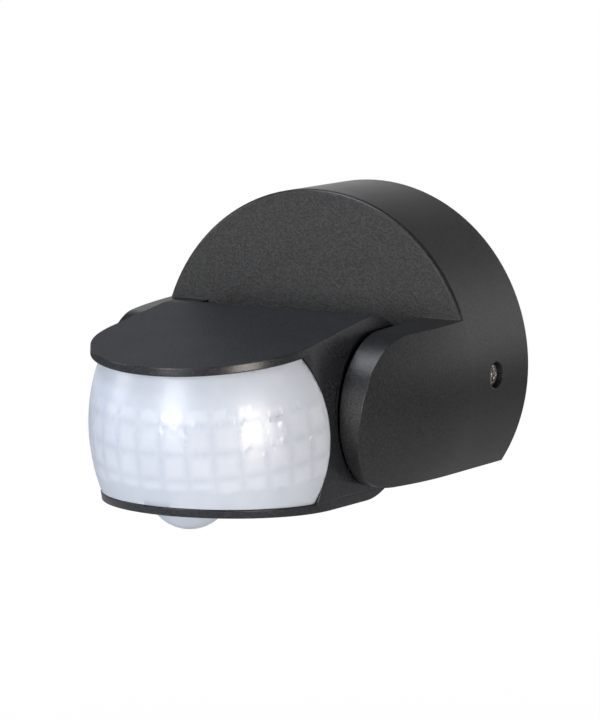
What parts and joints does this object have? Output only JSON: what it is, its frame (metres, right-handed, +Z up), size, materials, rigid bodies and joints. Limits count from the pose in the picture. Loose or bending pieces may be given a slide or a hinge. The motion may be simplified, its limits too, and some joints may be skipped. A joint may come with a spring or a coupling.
{
  "type": "motion sensor",
  "caption": "Wall-mounted passive-infrared motion sensor: round drum base with two arms holding a tilting head with a large faceted lens and a small downward lens.",
  "frame": {"origin": "the drum's axis on the wall, at the wall plate's back face", "axes": "+Y into the wall along the drum's axis, -Y out into the room, +Z up, X along the head's tilt axis"},
  "size_m": [0.08, 0.0965, 0.0689],
  "materials": {
    "housing_plastic": "satin black moulded ABS, fine spark-eroded texture",
    "head_plastic": "black moulded ABS, textured top, smooth flanks",
    "plate_plastic": "black moulded ABS, plain",
    "seal_rubber": "matt EPDM rubber",
    "stainless_steel": "bright stainless steel",
    "zinc_steel": "zinc-plated steel",
    "terminal_nylon": "white nylon",
    "terminal_brass": "nickelled brass",
    "circuit_board": "green solder resist on glass epoxy",
    "relay_case": "blue moulded case",
    "capacitor_case": "yellow moulded case",
    "capacitor_can": "black sleeve",
    "fuse_tube": "ceramic tube",
    "varistor_coating": "blue epoxy dip",
    "bush_acetal": "natural acetal",
    "wire_sheath": "black sleeve over the wires",
    "lens_polyethylene": "milky translucent HDPE with moulded facets",
    "sensor_can": "nickelled can",
    "light_sensor_resin": "clear resin cell",
    "led_resin": "red tinted resin",
    "connector_nylon": "natural nylon",
    "chip_epoxy": "black epoxy",
    "trimmer_case": "blue moulded case",
    "dial_plastic": "light grey moulded ABS"
  },
  "bodies": {
    "base": {"drum_housing": "housing_plastic", "wall_plate": "plate_plastic", "plate_gasket": "seal_rubber", "cable_grommet": "seal_rubber", "side_screws": "stainless_steel", "terminal_block": "terminal_nylon", "terminal_clamps": "terminal_brass", "terminal_screws": "zinc_steel", "power_board": "circuit_board", "relay": "relay_case", "film_capacitor": "capacitor_case", "electrolytic_capacitor": "capacitor_can", "fuse": "fuse_tube", "varistor": "varistor_coating", "board_screws": "zinc_steel", "pivot_bushes": "bush_acetal", "friction_washers": "bush_acetal", "base_harness": "wire_sheath"},
    "head": {"head_shell": "head_plastic", "bottom_cover": "head_plastic", "fresnel_lens": "lens_polyethylene", "cover_gasket": "seal_rubber", "down_lens": "lens_polyethylene", "pivot_pins": "zinc_steel", "spring_washers": "stainless_steel", "pivot_o_rings": "seal_rubber", "sensor_board": "circuit_board", "pyro_sensor": "sensor_can", "light_sensor": "light_sensor_resin", "indicator_led": "led_resin", "board_connector": "connector_nylon", "controller_chip": "chip_epoxy", "sensor_board_screws": "zinc_steel", "dial_board": "circuit_board", "dial_board_screws": "zinc_steel", "down_sensor": "sensor_can", "trimmer_pots": "trimmer_case", "head_screws": "stainless_steel", "head_harness": "wire_sheath"},
    "time_knob": {"time_dial": "dial_plastic"},
    "light_knob": {"light_dial": "dial_plastic"},
    "range_knob": {"range_dial": "dial_plastic"}
  },
  "joints": [
    {"name": "head_tilt", "type": "hinge", "parent": "base", "child": "head", "pos_m": [0, -0.046, -0.0046], "axis": [1, 0, 0], "range_deg": [-40, 60]},
    {"name": "time_turn", "type": "hinge", "parent": "head", "child": "time_knob", "pos_m": [-0.0105, -0.0575, -0.024], "axis": [0, 0, 1], "range_deg": [-135, 135]},
    {"name": "light_turn", "type": "hinge", "parent": "head", "child": "light_knob", "pos_m": [0, -0.0575, -0.024], "axis": [0, 0, 1], "range_deg": [-135, 135]},
    {"name": "range_turn", "type": "hinge", "parent": "head", "child": "range_knob", "pos_m": [0.0105, -0.0575, -0.024], "axis": [0, 0, 1], "range_deg": [-135, 135]}
  ]
}
